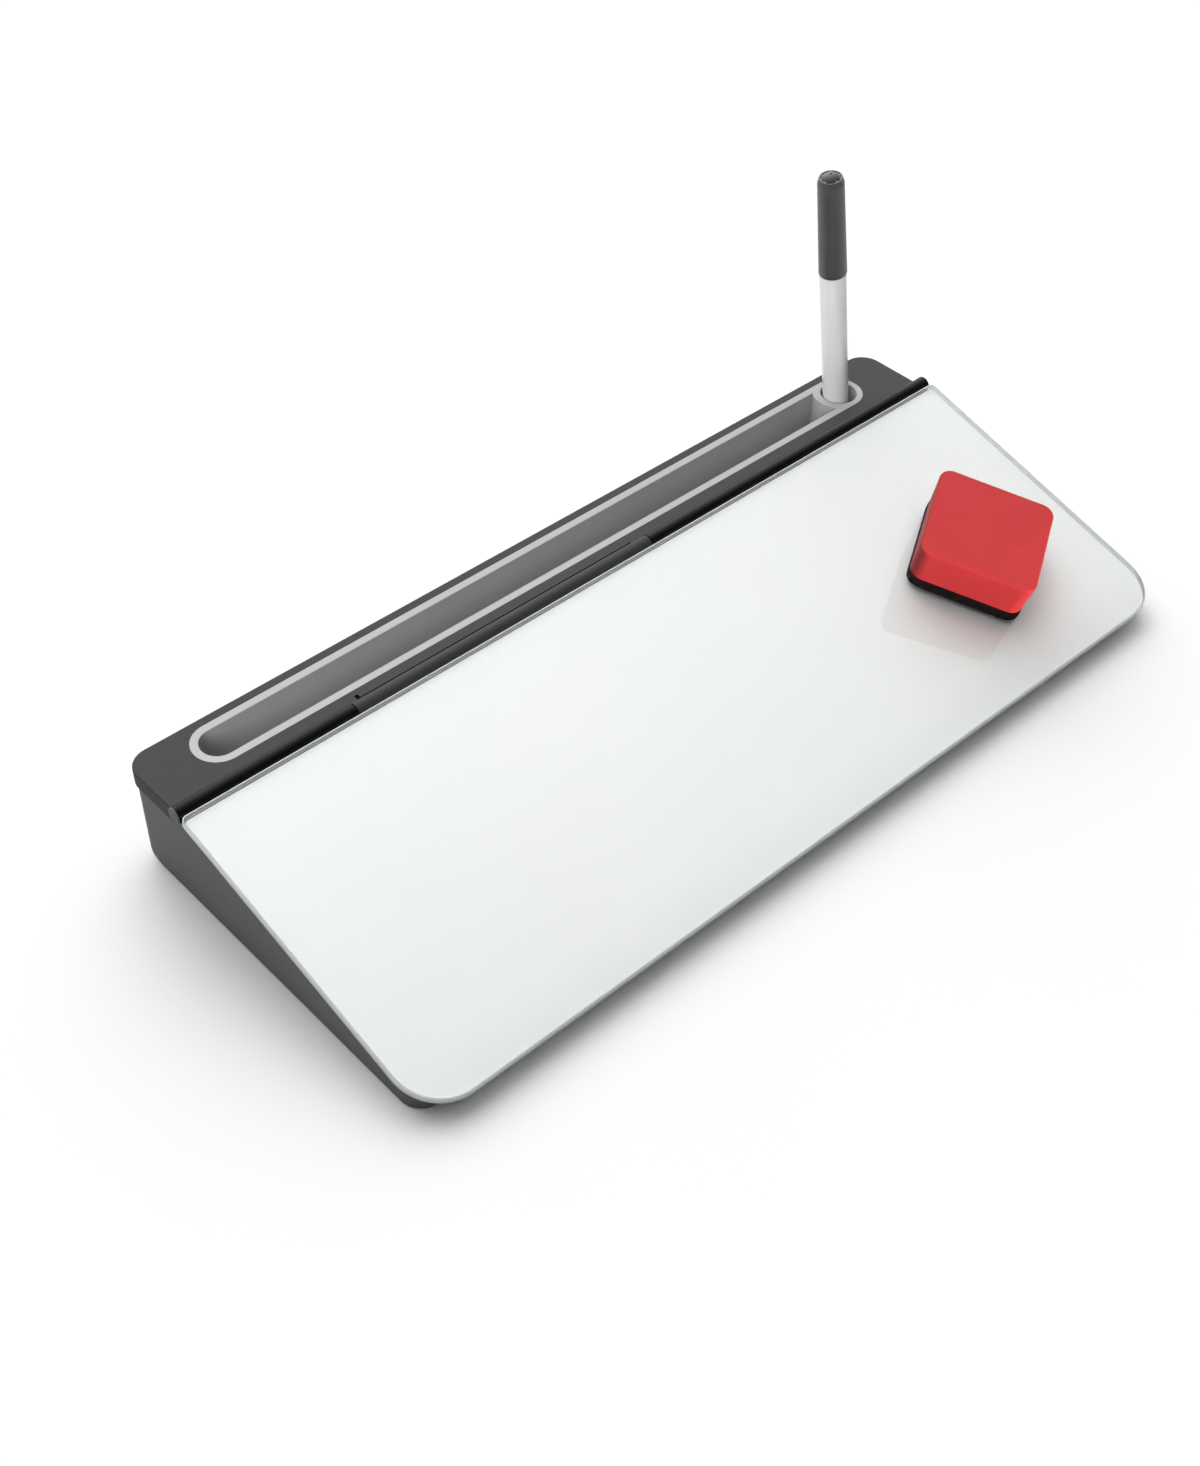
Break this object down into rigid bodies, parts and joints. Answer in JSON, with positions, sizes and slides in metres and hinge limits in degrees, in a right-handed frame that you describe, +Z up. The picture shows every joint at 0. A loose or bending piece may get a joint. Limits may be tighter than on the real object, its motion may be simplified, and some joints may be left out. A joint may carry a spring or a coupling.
{
  "type": "desktop glass whiteboard",
  "caption": "Sloped desktop writing board: a hinged white-backed glass lid over a wedge-shaped storage box, with a pen tray behind the hinge, a capped marker in a socket and a magnetic eraser.",
  "frame": {"origin": "on the table, at the middle of the object's footprint", "axes": "+X along the hinge to the socket's end, +Y to the rear, +Z up"},
  "size_m": [0.424, 0.1859, 0.1676],
  "materials": {
    "clear_glass": "polished float glass with eased edges",
    "white_coat": "white back coat",
    "steel_sheet": "plain steel sheet",
    "tape": "foam mounting tape",
    "black_rod": "satin black extrusion",
    "grey_body": "fine matte moulding",
    "dark_deck": "fine matte moulding",
    "light_tray": "smooth satin moulding",
    "bare_steel": "plain steel",
    "black_rubber": "soft rubber",
    "white_barrel": "glossy moulding",
    "dark_cap": "satin moulding",
    "ink_fibre": "bonded fibre soaked with ink",
    "red_block": "satin moulding",
    "felt": "pressed felt",
    "magnet": "nickel plated magnets"
  },
  "bodies": {
    "base": {"storage_body": "grey_body", "deck_plate": "dark_deck", "pen_tray": "light_tray", "hinge_knuckle": "grey_body", "knuckle_screws": "bare_steel", "hinge_pin": "bare_steel", "deck_screws": "bare_steel", "rubber_foot_front_left": "black_rubber", "rubber_foot_front_right": "black_rubber", "rubber_foot_rear_left": "black_rubber", "rubber_foot_rear_right": "black_rubber", "lid_bumper_left": "black_rubber", "lid_bumper_right": "black_rubber"},
    "lid": {"glass_board": "clear_glass", "white_back_coat": "white_coat", "steel_sheet": "steel_sheet", "mounting_tape_left": "tape", "mounting_tape_right": "tape", "hinge_rail_left": "black_rod", "hinge_rail_right": "black_rod", "rod_plug_left": "grey_body", "rod_plug_right": "grey_body"},
    "marker": {"marker_barrel": "white_barrel", "marker_end_plug": "white_barrel", "ink_reservoir": "ink_fibre", "marker_section": "dark_cap", "marker_nib": "ink_fibre"},
    "cap": {"marker_cap": "dark_cap", "cap_vent": "dark_cap"},
    "eraser": {"eraser_body": "red_block", "eraser_felt": "felt", "eraser_magnets": "magnet"}
  },
  "joints": [
    {"name": "lid_hinge", "type": "hinge", "parent": "base", "child": "lid", "pos_m": [0, 0.05553, 0.04575], "axis": [-1, 0, 0], "range_deg": [0, 90]},
    {"name": "marker_lift", "type": "slide", "parent": "base", "child": "marker", "axis": [-0.1633, 0, 0.9866], "range_m": [0, 0.06]},
    {"name": "cap_pull", "type": "slide", "parent": "marker", "child": "cap", "axis": [-0.1633, 0, 0.9866], "range_m": [0, 0.05]},
    {"name": "eraser_wipe", "type": "slide", "parent": "lid", "child": "eraser", "axis": [1, 0, 0], "range_m": [-0.31176, 0.02796]}
  ]
}
